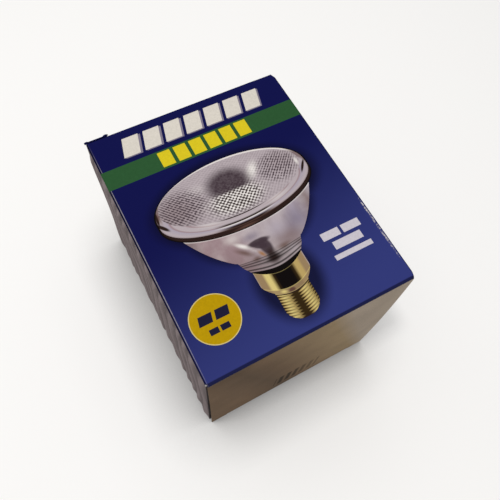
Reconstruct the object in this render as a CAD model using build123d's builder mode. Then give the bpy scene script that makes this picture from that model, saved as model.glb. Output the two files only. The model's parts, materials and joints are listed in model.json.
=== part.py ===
from build123d import *

import math
import os

# A tuck-end carton of printed board lies on its back, closed, with a reflector lamp inside it.
# +Z is up through the front panel, +Y runs from the bottom end to the top end, +X is the reader's right.
# The origin is the centre of the back panel's outer face. All sizes are in millimetres.

# Board and folds
BOARD = 0.5
FOLD_RADIUS = 1.0
SIDE_ROOM = 1.0
DEPTH_ROOM = 1.0
END_ROOM = 22.0
LAMP_SHIFT = 3.0

# Glue flap, inside the right panel
GLUE_FLAP = 16.0
GLUE_TAPER = 8.0
GLUE_END_GAP = 2.5
SEAM_GAP = 0.2

# Dust flaps
DUST_FLAP = 48.0
DUST_TAPER = 9.0
DUST_ROUND = 6.0
DUST_EDGE_GAP = 0.5
LOCK_SHOULDER = 10.5
LOCK_STEP = 5.5
LOCK_ROUND = 1.5

# Closures: end panel, slit-lock shoulders and tuck tab
END_GAP = 0.2
CLOSURE_INSET = 0.6
CLOSURE_BOW = 0.8
SLIT_LENGTH = 12.0
SLIT_WIDTH = 0.4
SHOULDER_GAP = 0.2
TUCK_GAP = 0.4
TAB_LENGTH = 15.0
TAB_ROUND = 7.0
TAB_LEAN_SPARE = 1.3
BOTTOM_STAND_OFF = 2.0
TOP_STAND_OFF = 0.8

# Lamp glass: lens, reflector bowl and neck
RIM_DIAMETER = 121.0
RIM_LAND = 7.0
RIM_STEP = 3.0
LENS_RISE = 8.0
LENS_RIM = 5.5
LENS_WALL = 3.2
LENS_FLAT = 40.0
FLANGE = 4.5
BOWL_DEPTH = 52.0
BOWL_WALL = 3.0
BOWL_BANDS = 2
NECK_DIAMETER = 38.0
NECK_LENGTH = 15.0
NECK_FLOOR = 8.0

# Halogen capsule and what carries it
CAPSULE_DIAMETER = 12.5
CAPSULE_LENGTH = 28.0
CAPSULE_WALL = 1.2
CAPSULE_NOSE = 2.5
PINCH_LENGTH = 11.0
PINCH_WIDTH = 12.0
PINCH_THICKNESS = 4.0
LEAD_DIAMETER = 1.4
LEAD_SPACING = 7.0
LEAD_REACH = 7.0
FERRULE_DIAMETER = 5.0
FERRULE_PROUD = 1.5
FIT_GAP = 0.05
FILAMENT_WIRE = 0.6
COIL_DIAMETER = 2.2
COIL_LENGTH = 12.0
LEG_SPACING = 3.0
COIL_TAIL = 3.0

# Screw base
BASE_WALL = 0.5
SKIRT_GAP = 0.1
SKIRT_SETBACK = 2.0
SKIRT_PAST_NECK = 10.0
SKIRT_SHOULDER = 7.0
COLLAR_LENGTH = 4.0
SHELL_DIAMETER = 26.2
THREAD_DEPTH = 0.65
THREAD_PITCH = 3.63
THREAD_TURNS = 5
INSULATOR_DIAMETER = 18.0
INSULATOR_PLUG = 4.0
INSULATOR_LENGTH = 5.0
CONTACT_DIAMETER = 10.0
CONTACT_RISE = 2.6
REST_GAP = 0.05

# Places along the lamp's axis, measured from the middle of the lens towards the contact
SEAL = LENS_RISE + LENS_RIM
FLANGE_BACK = SEAL + FLANGE
NECK_TOP = FLANGE_BACK + BOWL_DEPTH
NECK_END = NECK_TOP + NECK_LENGTH
NECK_INSIDE = NECK_END - NECK_FLOOR
PINCH_END = NECK_INSIDE - LEAD_REACH
PINCH_TOP = PINCH_END - PINCH_LENGTH
CAPSULE_TIP = PINCH_TOP - CAPSULE_LENGTH
SKIRT_SHOULDER_TOP = NECK_END + SKIRT_PAST_NECK
COLLAR_TOP = SKIRT_SHOULDER_TOP + SKIRT_SHOULDER
COLLAR_END = COLLAR_TOP + COLLAR_LENGTH
THREAD_END = COLLAR_END + THREAD_PITCH * THREAD_TURNS
INSULATOR_END = THREAD_END + INSULATOR_LENGTH
LAMP_LENGTH = INSULATOR_END + CONTACT_RISE

# Radii of the lamp
RIM = RIM_DIAMETER / 2
NECK = NECK_DIAMETER / 2
CREST = SHELL_DIAMETER / 2
ROOT = CREST - THREAD_DEPTH
SHELL_BORE = ROOT - BASE_WALL
SKIRT_BORE = NECK + SKIRT_GAP

# Outer size of the carton, worked out from the lamp
WIDTH = RIM_DIAMETER + 2 * (SIDE_ROOM + BOARD)
DEPTH = RIM_DIAMETER + 2 * (DEPTH_ROOM + BOARD)
LENGTH = LAMP_LENGTH + END_ROOM + 4 * BOARD
PANEL_LENGTH = LENGTH - 2 * (BOARD + END_GAP)
WALL_X = (WIDTH - BOARD) / 2
PANEL_END = PANEL_LENGTH / 2
BEND = FOLD_RADIUS - BOARD / 2
FLAP_LOW = FOLD_RADIUS + DUST_EDGE_GAP
FLAP_HIGH = DEPTH - FLAP_LOW
NOTCHED_DEPTH = DEPTH - 2 * (FOLD_RADIUS + SEAM_GAP)

# The lamp lies with its rim and the end of its screw thread on the back panel, so its axis dips to the base.
LAMP_TILT = math.atan2(RIM - CREST, THREAD_END - FLANGE_BACK)
TILT_SIN = math.sin(LAMP_TILT)
TILT_COS = math.cos(LAMP_TILT)
RIM_SUPPORT = FLANGE_BACK * TILT_SIN + RIM * TILT_COS
LENS_REACH = RIM * TILT_SIN - LENS_RISE * TILT_COS
BASE_REACH = LAMP_LENGTH * TILT_COS
LAMP_Z = BOARD + REST_GAP + RIM_SUPPORT
LAMP_Y = (BASE_REACH - LENS_REACH) / 2 + LAMP_SHIFT

AXIS_DIRECTION = (0, -TILT_COS, -TILT_SIN)
LAMP_AXIS = Axis((0, LAMP_Y, LAMP_Z), AXIS_DIRECTION)
LAMP_SECTION = Plane(origin=(0, LAMP_Y, LAMP_Z), x_dir=(0, -TILT_SIN, TILT_COS), z_dir=(1, 0, 0))


def lamp_cross(place):
    """Plane square to the lamp's axis, facing the contact, at a distance from the middle of the lens."""
    origin = LAMP_AXIS.position + LAMP_AXIS.direction * place
    return Plane(origin=origin, x_dir=(1, 0, 0), z_dir=AXIS_DIRECTION)


# Bottom left dust flap: its fold seen from above, then its outline seen from the end
with BuildPart() as dust_flap:
    with BuildSketch(Plane.XY.offset(FLAP_LOW)):
        with BuildLine():
            FilletPolyline(
                (-WALL_X, -PANEL_END + 2 * FOLD_RADIUS),
                (-WALL_X, -PANEL_END + BOARD / 2),
                (-WIDTH / 2 + DUST_FLAP, -PANEL_END + BOARD / 2),
                radius=BEND,
            )
        trace(line_width=BOARD)
    extrude(amount=FLAP_HIGH - FLAP_LOW)
    with BuildSketch(Plane.XZ):
        with BuildLine():
            Polyline(
                (-WIDTH / 2, FLAP_LOW),
                (-WIDTH / 2 + LOCK_SHOULDER, FLAP_LOW),
                (-WIDTH / 2 + LOCK_SHOULDER, FLAP_LOW + LOCK_STEP),
                (-WIDTH / 2 + DUST_FLAP, FLAP_LOW + LOCK_STEP),
                (-WIDTH / 2 + DUST_FLAP, FLAP_HIGH - DUST_TAPER),
                (-WIDTH / 2, FLAP_HIGH),
                close=True,
            )
        make_face()
        fillet(vertices().group_by(Axis.X)[-1], DUST_ROUND)
        fillet(vertices().group_by(Axis.X)[1].sort_by(Axis.Y)[0], LOCK_ROUND)
    extrude(amount=PANEL_LENGTH, both=True, mode=Mode.INTERSECT)

turned_flap = Location((0, 0, DEPTH), (180, 0, 0)) * dust_flap.part

# Carton sleeve: the four panels and the seam's fold are one strip, and the dust flaps fold in from its sides
with BuildPart() as carton_sleeve:
    with BuildSketch(Plane.XZ):
        with BuildLine():
            FilletPolyline(
                (WALL_X, FOLD_RADIUS + SEAM_GAP),
                (WALL_X, DEPTH - BOARD / 2),
                (-WALL_X, DEPTH - BOARD / 2),
                (-WALL_X, BOARD / 2),
                (WALL_X - BOARD, BOARD / 2),
                (WALL_X - BOARD, FOLD_RADIUS + SEAM_GAP / 2),
                radius=BEND,
            )
        trace(line_width=BOARD)
    extrude(amount=PANEL_END, both=True)
    with BuildSketch(Plane.YZ.offset(WALL_X - 3 * BOARD / 2)):
        with BuildLine():
            Polyline(
                (-PANEL_END + GLUE_END_GAP, FOLD_RADIUS),
                (PANEL_END - GLUE_END_GAP, FOLD_RADIUS),
                (PANEL_END - GLUE_END_GAP - GLUE_TAPER, GLUE_FLAP),
                (-PANEL_END + GLUE_END_GAP + GLUE_TAPER, GLUE_FLAP),
                close=True,
            )
        make_face()
    extrude(amount=BOARD)
    with Locations((0, 0, DEPTH / 2)):
        with GridLocations(2 * WALL_X, PANEL_LENGTH, 2, 2):
            Box(2 * BOARD, 4 * FOLD_RADIUS, NOTCHED_DEPTH, mode=Mode.SUBTRACT)
    for flap in (dust_flap.part, turned_flap):
        add(flap)
        add(mirror(flap, about=Plane.YZ, mode=Mode.PRIVATE))


# Closures: each is drawn from its crease outwards, x along the panel and y away from the carton
CLOSURE_WIDTH = WIDTH - 2 * CLOSURE_INSET
TAB_WIDTH = CLOSURE_WIDTH - 2 * SLIT_LENGTH
REACH = DEPTH - 3 * BOARD / 2 - TUCK_GAP
CREASE_TO_FOLD = REACH - FOLD_RADIUS
SHOULDER_REACH = DEPTH - BOARD / 2 - SHOULDER_GAP
TAB_LEAN = math.degrees(math.asin((TAB_LENGTH + FOLD_RADIUS) / (2 * REACH))) + TAB_LEAN_SPARE


def make_closure(plane):
    """End panel with a slight bow, two flat shoulders past the slits and a tuck tab that leans inwards."""
    with BuildPart() as closure:
        with BuildSketch(plane):
            with BuildLine():
                panel = ThreePointArc((0, 0), (CREASE_TO_FOLD / 2, CLOSURE_BOW), (CREASE_TO_FOLD, 0))
            trace(line_width=BOARD)
            Circle(BOARD / 2)
        extrude(amount=CLOSURE_WIDTH / 2, both=True)
        with BuildSketch(plane):
            with BuildLine():
                Line(panel @ 1, (panel @ 1) + (panel % 1) * (SHOULDER_REACH - CREASE_TO_FOLD))
            trace(line_width=BOARD)
        extrude(amount=CLOSURE_WIDTH / 2, both=True)
        with BuildSketch(plane):
            with BuildLine():
                Line(panel @ 1, (panel @ 1) + (panel % 1) * SHOULDER_REACH)
            trace(line_width=4 * BOARD)
        extrude(amount=TAB_WIDTH / 2 + SLIT_WIDTH, both=True, mode=Mode.SUBTRACT)
        with BuildSketch(plane):
            with BuildLine():
                fold = JernArc(panel @ 1, panel % 1, BEND, -90 - TAB_LEAN)
                Line(fold @ 1, (fold @ 1) + (fold % 1) * TAB_LENGTH)
            trace(line_width=BOARD)
        extrude(amount=TAB_WIDTH / 2, both=True)
        tab_end = faces().sort_by(Axis(plane.origin, -plane.y_dir))[-1]
        fillet(tab_end.edges().group_by(SortBy.LENGTH)[0], TAB_ROUND)
    return closure


def closure_plane(end, stand_off):
    """Plane across a closure's crease: end is -1 for the bottom and 1 for the top, hinged at the back."""
    swing = math.atan2(stand_off, REACH)
    crease_y = end * (LENGTH - BOARD) / 2
    crease_z = DEPTH / 2 - end * (DEPTH - BOARD) / 2
    along = (0, end * math.sin(swing), end * math.cos(swing))
    return Plane(origin=(0, crease_y, crease_z), x_dir=along, z_dir=(-1, 0, 0))


bottom_closure = make_closure(closure_plane(-1, BOTTOM_STAND_OFF))
top_closure = make_closure(closure_plane(1, TOP_STAND_OFF))


# Lamp glass
def parabola(start, end, bands):
    """Parabola about the lamp's axis from one point to another, in straight bands of equal radial step."""
    squeeze = (end[1] - start[1]) / (start[0] ** 2 - end[0] ** 2)
    radii = [start[0] + (end[0] - start[0]) * step / bands for step in range(bands + 1)]
    return Polyline(*[(radius, start[1] + squeeze * (start[0] ** 2 - radius**2)) for radius in radii])


with BuildPart() as lamp_lens:
    with BuildSketch(LAMP_SECTION):
        with BuildLine():
            Polyline(
                (0, 0),
                (LENS_FLAT, 0),
                (RIM, LENS_RISE),
                (RIM, SEAL),
                (RIM - RIM_LAND, SEAL),
                (LENS_FLAT, LENS_WALL),
                (0, LENS_WALL),
                close=True,
            )
        make_face()
    revolve(axis=LAMP_AXIS)

with BuildPart() as lamp_reflector:
    with BuildSketch(LAMP_SECTION):
        with BuildLine():
            parabola((RIM - RIM_LAND, SEAL), (NECK - BOWL_WALL, NECK_TOP), BOWL_BANDS)
            Polyline(
                (NECK - BOWL_WALL, NECK_TOP),
                (NECK - BOWL_WALL, NECK_INSIDE),
                (0, NECK_INSIDE),
                (0, NECK_END),
                (NECK, NECK_END),
                (NECK, NECK_TOP),
            )
            parabola((RIM - RIM_STEP, FLANGE_BACK), (NECK, NECK_TOP), BOWL_BANDS)
            Polyline((RIM - RIM_STEP, FLANGE_BACK), (RIM, FLANGE_BACK), (RIM, SEAL), (RIM - RIM_LAND, SEAL))
        make_face()
    revolve(axis=LAMP_AXIS)
    with BuildSketch(lamp_cross(NECK_END)):
        with GridLocations(LEAD_SPACING, 0, 2, 1):
            Circle(FERRULE_DIAMETER / 2 + FIT_GAP)
    extrude(amount=-NECK_FLOOR, mode=Mode.SUBTRACT)

# Halogen capsule, its filament, the lead wires that carry it and the ferrules that they stand on
CAPSULE = CAPSULE_DIAMETER / 2
CAVITY = CAPSULE - CAPSULE_WALL

with BuildPart() as lamp_capsule:
    with BuildSketch(LAMP_SECTION):
        with BuildLine():
            Polyline(
                (0, CAPSULE_TIP),
                (CAPSULE, CAPSULE_TIP),
                (CAPSULE, PINCH_TOP),
                (0, PINCH_TOP),
                close=True,
            )
        make_face()
    revolve(axis=LAMP_AXIS)
    with BuildSketch(lamp_cross(PINCH_TOP)):
        Rectangle(PINCH_WIDTH, PINCH_THICKNESS)
    extrude(amount=PINCH_LENGTH)
    with BuildSketch(LAMP_SECTION):
        with BuildLine():
            Polyline(
                (0, CAPSULE_TIP + CAPSULE_NOSE),
                (CAVITY, CAPSULE_TIP + CAPSULE_NOSE),
                (CAVITY, PINCH_TOP - CAPSULE_WALL),
                (0, PINCH_TOP - CAPSULE_WALL),
                close=True,
            )
        make_face()
    revolve(axis=LAMP_AXIS, mode=Mode.SUBTRACT)

FILAMENT_SECTION = Plane(origin=LAMP_SECTION.origin, x_dir=(1, 0, 0), z_dir=LAMP_SECTION.x_dir)
CAVITY_FLOOR = CAPSULE_WALL - PINCH_TOP
COIL_LOW = CAVITY_FLOOR + COIL_TAIL
COIL_TOP = COIL_LOW + COIL_LENGTH

with BuildPart() as lamp_filament:
    with BuildLine(FILAMENT_SECTION) as filament_path:
        Polyline(
            (-LEG_SPACING / 2, CAVITY_FLOOR),
            (-LEG_SPACING / 2, COIL_TOP + COIL_TAIL),
            (LEG_SPACING / 2, COIL_TOP + COIL_TAIL),
            (LEG_SPACING / 2, CAVITY_FLOOR),
        )
    with BuildSketch(Plane(origin=filament_path.line @ 0, z_dir=filament_path.line % 0)):
        Circle(FILAMENT_WIRE / 2)
    sweep(path=filament_path.line, transition=Transition.RIGHT)
    coil_start = FILAMENT_SECTION.from_local_coords((LEG_SPACING / 2, COIL_LOW))
    with BuildSketch(Plane(origin=coil_start, z_dir=FILAMENT_SECTION.y_dir)):
        Circle(COIL_DIAMETER / 2)
    extrude(amount=COIL_LENGTH)

with BuildPart() as lead_wires:
    with BuildSketch(lamp_cross(PINCH_END)):
        with GridLocations(LEAD_SPACING, 0, 2, 1):
            Circle(LEAD_DIAMETER / 2)
    extrude(amount=LEAD_REACH - FERRULE_PROUD)

with BuildPart() as lead_ferrules:
    with BuildSketch(lamp_cross(NECK_INSIDE - FERRULE_PROUD)):
        with GridLocations(LEAD_SPACING, 0, 2, 1):
            Circle(FERRULE_DIAMETER / 2)
    extrude(amount=NECK_FLOOR + 2 * FERRULE_PROUD)

# Screw base: skirt and shell are one drawn sheet, drawn at the root of the thread, with insulator and contact
with BuildPart() as screw_base:
    with BuildSketch(LAMP_SECTION):
        with BuildLine():
            Polyline(
                (SKIRT_BORE, NECK_TOP + SKIRT_SETBACK),
                (SKIRT_BORE, SKIRT_SHOULDER_TOP),
                (SHELL_BORE, COLLAR_TOP),
                (SHELL_BORE, THREAD_END),
            )
            offset(amount=BASE_WALL, kind=Kind.INTERSECTION, side=Side.RIGHT)
        make_face()
    revolve(axis=LAMP_AXIS)

with BuildPart() as base_insulator:
    with BuildSketch(lamp_cross(THREAD_END - INSULATOR_PLUG)):
        Circle(SHELL_BORE - FIT_GAP)
    extrude(amount=INSULATOR_PLUG)
    with BuildSketch(lamp_cross(THREAD_END)):
        Circle(INSULATOR_DIAMETER / 2)
    extrude(amount=INSULATOR_LENGTH)

with BuildPart() as centre_contact:
    with BuildSketch(lamp_cross(INSULATOR_END)):
        Circle(CONTACT_DIAMETER / 2)
    extrude(amount=CONTACT_RISE)

# Export, one file for each piece
os.makedirs("parts", exist_ok=True)
pieces = {
    "carton_sleeve": carton_sleeve,
    "bottom_closure": bottom_closure,
    "top_closure": top_closure,
    "lamp_lens": lamp_lens,
    "lamp_reflector": lamp_reflector,
    "lamp_capsule": lamp_capsule,
    "lamp_filament": lamp_filament,
    "lead_wires": lead_wires,
    "lead_ferrules": lead_ferrules,
    "screw_base": screw_base,
    "base_insulator": base_insulator,
    "centre_contact": centre_contact,
}
for name, piece in pieces.items():
    piece.part.label = name
    export_step(piece.part, f"parts/{name}.step")
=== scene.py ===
"""Printed folding carton with a reflector lamp inside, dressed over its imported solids."""

import json
import math
from functools import cached_property

import bmesh
import bpy
from bpy.props import FloatProperty, FloatVectorProperty, IntProperty, PointerProperty
from mathutils import Matrix, Quaternion, Vector, noise


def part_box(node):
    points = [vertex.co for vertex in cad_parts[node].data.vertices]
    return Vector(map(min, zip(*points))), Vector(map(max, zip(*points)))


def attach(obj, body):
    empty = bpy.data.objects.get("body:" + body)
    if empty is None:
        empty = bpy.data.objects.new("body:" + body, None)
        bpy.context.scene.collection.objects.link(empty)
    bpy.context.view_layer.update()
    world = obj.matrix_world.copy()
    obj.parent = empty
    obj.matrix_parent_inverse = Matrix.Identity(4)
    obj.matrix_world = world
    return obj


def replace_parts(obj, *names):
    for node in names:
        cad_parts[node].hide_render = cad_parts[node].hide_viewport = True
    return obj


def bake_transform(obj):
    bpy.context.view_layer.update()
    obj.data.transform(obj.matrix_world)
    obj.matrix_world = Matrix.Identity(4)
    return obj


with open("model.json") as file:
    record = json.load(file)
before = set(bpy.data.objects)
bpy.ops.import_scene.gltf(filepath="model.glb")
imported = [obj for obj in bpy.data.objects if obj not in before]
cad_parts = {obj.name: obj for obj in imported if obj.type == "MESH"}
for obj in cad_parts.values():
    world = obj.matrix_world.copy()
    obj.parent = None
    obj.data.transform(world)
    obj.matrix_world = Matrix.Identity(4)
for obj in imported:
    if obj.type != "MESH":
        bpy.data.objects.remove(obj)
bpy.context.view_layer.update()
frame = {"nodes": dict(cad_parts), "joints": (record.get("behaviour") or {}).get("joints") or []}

bl_info = {
    "name": "Lamp Carton",
    "version": (1, 0, 0),
    "blender": (4, 5, 0),
    "location": "3D View > Sidebar > Lamp Carton",
    "description": "Board, print and lamp finishes for a printed folding carton, with a plain stage",
    "category": "Object",
}

MM = 0.001
NODES = frame["nodes"]

# The front panel's face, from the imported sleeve. Its centre is the frame's origin seen from above.
SLEEVE_LOW, SLEEVE_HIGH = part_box("carton_sleeve")
HALF_WIDTH, HALF_LENGTH, FRONT = SLEEVE_HIGH

# The front panel's crushed right corners: place, the way each gives, how far, and how far around it the board bends.
CRUSHED = (
    (Vector((HALF_WIDTH, HALF_LENGTH, FRONT)), Vector((-0.7, -0.7, -0.1)), 1.4 * MM, 3.8 * MM),
    (Vector((HALF_WIDTH, -HALF_LENGTH - 0.5 * MM, FRONT)), Vector((-0.65, 0.2, -0.72)), 1.2 * MM, 4.2 * MM),
)
# Cuts through the board around a crushed corner, as shares of how far around it the board bends.
BENDS = (0.12, 0.25, 0.4, 0.6, 0.8, 1.0)

# Specular level of the varnish over the print: satin, with hardly a reflection of its own.
VARNISH = 0.012
# Radius in millimetres, across the panel, of the soft ovals in the inks, so that they go right through each print.
THROUGH = 1e6
# Share of a film of ink by which each print starts above the panel.
LIFT = 0.25


def linear(hex_colour):
    """Linear RGBA for an sRGB colour written as six hex digits after a hash sign."""
    channels = [int(hex_colour[place : place + 2], 16) / 255 for place in (1, 3, 5)]
    return tuple(c / 12.92 if c <= 0.04045 else ((c + 0.055) / 1.055) ** 2.4 for c in channels) + (1.0,)


def hue(name, description, hex_colour):
    """Colour property."""
    return FloatVectorProperty(
        name=name, description=description, subtype="COLOR", size=4, min=0.0, max=1.0, default=linear(hex_colour)
    )


def length(name, description, millimetres):
    """Length property, written in millimetres and kept in metres."""
    return FloatProperty(name=name, description=description, unit="LENGTH", precision=5, default=millimetres * MM)


def spot(name, description, x, y):
    """Place on the front panel from its centre, written in millimetres and kept in metres."""
    return FloatVectorProperty(
        name=name, description=description, subtype="TRANSLATION", unit="LENGTH", size=2, default=(x * MM, y * MM)
    )


def stand(name, description, *metres):
    """Place around the carton, in metres."""
    return FloatVectorProperty(name=name, description=description, subtype="TRANSLATION", default=metres)


def fraction(name, description, default):
    """Property between nothing and all."""
    return FloatProperty(name=name, description=description, subtype="FACTOR", default=default, min=0.0, max=1.0)


def inclination(name, description, radians):
    """Angle property."""
    return FloatProperty(name=name, description=description, subtype="ANGLE", default=radians)


class BoardLook(bpy.types.PropertyGroup):
    """Bare board of the sides, the back and the closures, and its wear."""

    # The sides' cooler grey and the closures' warmer brown stand partly for cooler light on the sides and warmer light
    # on the ends: painted light.
    side: hue("Side board", "Bare board on the sleeve's sides and back", "#988B8C")
    closure: hue("Closure board", "Bare board on the two closures", "#856E58")
    # Painted shade and light on the bottom closure: a darker stripe of fold shade left of its middle, and paler board
    # at its right where more light falls.
    closure_shade: hue("Shaded board", "Darker stripe left of the middle of the bottom closure", "#6E5C4B")
    closure_warm: hue("Warm board", "Yellower board right of the middle of the bottom closure", "#B7A07F")
    closure_lit: hue("Rubbed board", "Paler board on the right of the bottom closure", "#CBBBA9")
    # Painted shade: the dark along the dust flaps' folds stands for the shade in the gap behind the bottom closure.
    gap_shade: hue("Dirt", "What has gathered in the dust flaps' folds", "#17120F")
    stamp: hue("Stamp", "Faint bars low on the bottom closure", "#352B20")
    stamp_pitch: length("Stamp pitch", "From one faint bar to the next", 5.6)
    fibre: length("Fibre", "Width of the board's mottled fibres", 0.9)
    dent: length("Dent", "Width of the soft dents from handling", 30.0)
    ripple: length("Ripple", "Width of one upright ripple in the left side", 9.5)
    ripple_depth: length("Ripple depth", "How far a ripple of the left side stands out", 1.2)
    furrow: fraction("Furrow", "Share of light that is lost between the ripples", 0.45)
    give: length("Give", "How much further than its print the board is crushed", 0.08)
    shoulder: length("Shoulder", "Where the top closure's right shoulder begins", 49.6)
    shoulder_edge: length("Shoulder edge", "Height of the edge of the top closure's right shoulder", 1.0)
    shoulder_tuck: length("Shoulder tuck", "How far the edge of that shoulder has slipped in", 1.5)
    wrap: length("Wrap", "How far the print runs past the fold onto the next face", 0.5)
    crease_wrap: length("Crease wrap", "How far the print runs down the bottom closure", 1.2)
    fold_radius: length("Fold radius", "Outer radius of the sleeve's long folds", 1.0)
    crease_radius: length("Crease radius", "Outer radius of the bottom closure's crease", 0.25)
    dark_edge: length("Dark edge", "Height of the dark edge on the top closure's fold", 4.0)


class PrintLook(bpy.types.PropertyGroup):
    """Inks and places of the front panel's fields and marks."""

    film: length("Ink film", "Thickness of one layer of print", 0.02)
    navy: hue("Navy", "Ground colour at the panel's upper part", "#101246")
    navy_low: hue("Lower navy", "Ground colour at the panel's lower right", "#313874")
    halo: hue("Halo", "Darker ground around the pictured lamp and along the folds", "#0B0A20")
    # This board colour also draws the fine line on the left fold, partly wear and partly a painted highlight.
    scuff_and_highlight: hue("Scuff", "Board that shows where the ink has rubbed off", "#C9C2BC")
    green: hue("Green", "Cross band", "#2B5230")
    band_low: length("Band low", "Lower edge of the cross band", 42.0)
    band_high: length("Band high", "Upper edge of the cross band", 54.8)
    off_white: hue("Off-white", "Top row of blocks", "#D3CCC1")
    block_shade: hue("Block shade", "Bevel under the top row of blocks", "#7C7484")
    yellow: hue("Yellow", "Blocks on the cross band", "#D2BE22")
    disc_yellow: hue("Disc yellow", "Round seal", "#B18E06")
    disc_ring: hue("Disc ring", "Line around the seal", "#CDBB78")
    disc_place: spot("Disc place", "Centre of the round seal", -43.1, -49.6)
    disc_radius: length("Disc radius", "Outer radius of the round seal", 13.5)
    disc_line: length("Disc line", "Width of the line around the seal", 0.5)
    seal_ink: hue("Seal ink", "Bars on the round seal", "#1C1B33")
    caption: hue("Caption", "Bars at the lower right", "#C4BEC6")


class PictureLook(bpy.types.PropertyGroup):
    """Printed picture of a reflector lamp."""

    middle: length("Middle", "Middle line of the pictured bowl and base", 0.1)
    rim_place: spot("Rim place", "Centre of the far half of the pictured rim", -0.3, 12.5)
    rim_width: length("Rim width", "Half width of the pictured rim", 47.4)
    rim_height: length("Rim height", "Half height of the far half of the pictured rim", 21.8)
    seam_place: spot("Seam place", "Centre of the near half of the pictured rim's seam", -0.3, 7.4)
    seam_height: length("Seam height", "Half height of the near half of the pictured seam", 19.4)
    bead_place: spot("Bead place", "Centre of the near half of the pictured glass bead", -0.3, 9.2)
    bead_height: length("Bead height", "Half height of the near half of the pictured glass bead", 18.2)
    bead_inset: length("Bead inset", "From the rim's end in to the bead's", 0.9)
    lens_inset: length("Lens inset", "From the rim's end in to the lens's", 3.6)
    lens_rise: length("Lens rise", "From the rim's centre up to the lens's", 2.9)
    lens_height: length("Lens height", "Half height of the pictured lens", 18.0)
    tilt: inclination("Tilt", "Lean of the pictured rim", math.radians(1.1))
    prism: length("Prism", "Width of one diamond of the pictured lens", 2.6)
    pale: hue("Pale glass", "Light part of the glass", "#B0A4A8")
    bright: hue("Bright glass", "Brightest glints", "#E6E0DB")
    dusk: hue("Dusky glass", "Shaded part of the glass", "#7C696A")
    rose: hue("Rose glass", "Warm part of the pictured bowl", "#947C80")
    dark: hue("Dark glass", "Darkest reflections", "#2A1C19")
    umber: hue("Umber", "Warm dark of the seam and the base", "#5C4238")
    spot: hue("Spot", "Dark pool on the pictured lens", "#40333A")
    lilac: hue("Lilac", "Cool part of the pictured bowl", "#A49AA6")
    violet: hue("Violet", "Dim cool reflections of the pictured bowl", "#655A70")
    amber: hue("Amber", "Warm glint on the pictured bowl", "#9A6C42")
    brass: hue("Brass", "Light part of the pictured base", "#B39A60")
    brass_bright: hue("Bright brass", "Glints of the pictured base", "#D0BD78")
    tan: hue("Tan", "Dull edges of the pictured base", "#927A5A")
    brass_dark: hue("Dark brass", "Dark part of the pictured base", "#302310")
    black: hue("Black", "Deepest reflection of the pictured base", "#0D0909")


class LampLook(bpy.types.PropertyGroup):
    """Finishes of the lamp that lies inside."""

    glass: hue("Glass", "Pressed glass", "#EEF2F2")
    silver: hue("Silvering", "Aluminium film inside the bowl", "#C9C9CF")
    brass: hue("Brass", "Rolled brass of the screw base", "#C9A552")
    insulator: hue("Insulator", "Dark glass at the end of the shell", "#14151A")
    tin: hue("Tin", "Contact, wires and ferrules", "#A7A7A5")
    tungsten: hue("Tungsten", "Filament", "#57575B")
    pitch: length("Pitch", "Pitch of the screw thread", 3.63)
    thread_depth: length("Thread depth", "Height of the rolled thread", 0.65)
    turns: IntProperty(name="Turns", description="Turns of the screw thread", default=5, min=1)


class StageLook(bpy.types.PropertyGroup):
    """Floor, light and camera."""

    floor: hue("Floor", "Pale paper under the carton", "#FFFDFA")
    bounce: hue("Bounce", "What the paper throws back on the carton", "#B5B2AE")
    white: hue("White", "Light all around, and the paper's own glow", "#FFFFFF")
    glow: fraction("Glow", "Share of plain white in the floor that is seen", 0.3)
    ambient: FloatProperty(name="Ambient", description="Level of the light from all around", default=0.4, min=0.0)
    contact: length("Contact", "How far from the carton the floor is shaded by it", 42.0)
    key_power: FloatProperty(name="Key power", description="Power of the soft key light", unit="POWER", default=5.8)
    key_size: length("Key size", "Width of the soft key light", 1300.0)
    key_place: stand("Key place", "Place of the soft key light", -0.05, 0.25, 1.2)
    side_power: FloatProperty(name="Side power", description="Power of the small side light", unit="POWER", default=4.3)
    side_size: length("Side size", "Width of the small side light", 120.0)
    side_place: stand("Side place", "Place of the small side light", -0.26, -0.02, 1.2)
    eye: stand("Eye", "Place of the camera", -0.0771, -0.1195, 0.3748)
    aim: spot("Aim", "Point of the front panel at the middle of the view", -9.5, -24.2)
    roll: inclination("Roll", "Turn of the camera about its view", 0.1333)
    lens: FloatProperty(name="Lens", description="Focal length", unit="CAMERA", default=37.45)


# Nodes and materials

# Arithmetic on a whole place or colour. Every other operation works on single numbers.
ON_VECTORS = ("SCALE", "LENGTH")


def live(source):
    """First live output of a node. A socket or a plain value stays as it is."""
    return next(s for s in source.outputs if s.enabled) if isinstance(source, bpy.types.Node) else source


class Graph:
    """Node tree of a material or a world."""

    def __init__(self, owner):
        owner.use_nodes = True
        self.tree = owner.node_tree

    def add(self, kind, *values, stops=(), **settings):
        """Add a node with its settings, fill its live inputs in order with values or links, give a ramp its stops.

        Arithmetic goes by its operation's name, and a mix is one of colours unless a setting says otherwise.
        """
        if kind.isupper():
            kind, settings = ("VectorMath" if kind in ON_VECTORS else "Math"), {"operation": kind}
        elif kind == "Mix":
            settings = {"data_type": "RGBA", **settings}
        new = self.tree.nodes.new(f"ShaderNode{kind}")
        for name, value in settings.items():
            setattr(new, name, value)
        for socket, value in zip([s for s in new.inputs if s.enabled], map(live, values)):
            if isinstance(value, bpy.types.NodeSocket):
                self.tree.links.new(value, socket)
            elif value is not None:
                socket.default_value = value
        for _ in stops[2:]:
            new.color_ramp.elements.new(1.0)
        for step, (place, shade) in enumerate(stops):
            new.color_ramp.elements[step].position = place
            new.color_ramp.elements[step].color = (shade, shade, shade, 1.0) if isinstance(shade, float) else shade
        return new


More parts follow.
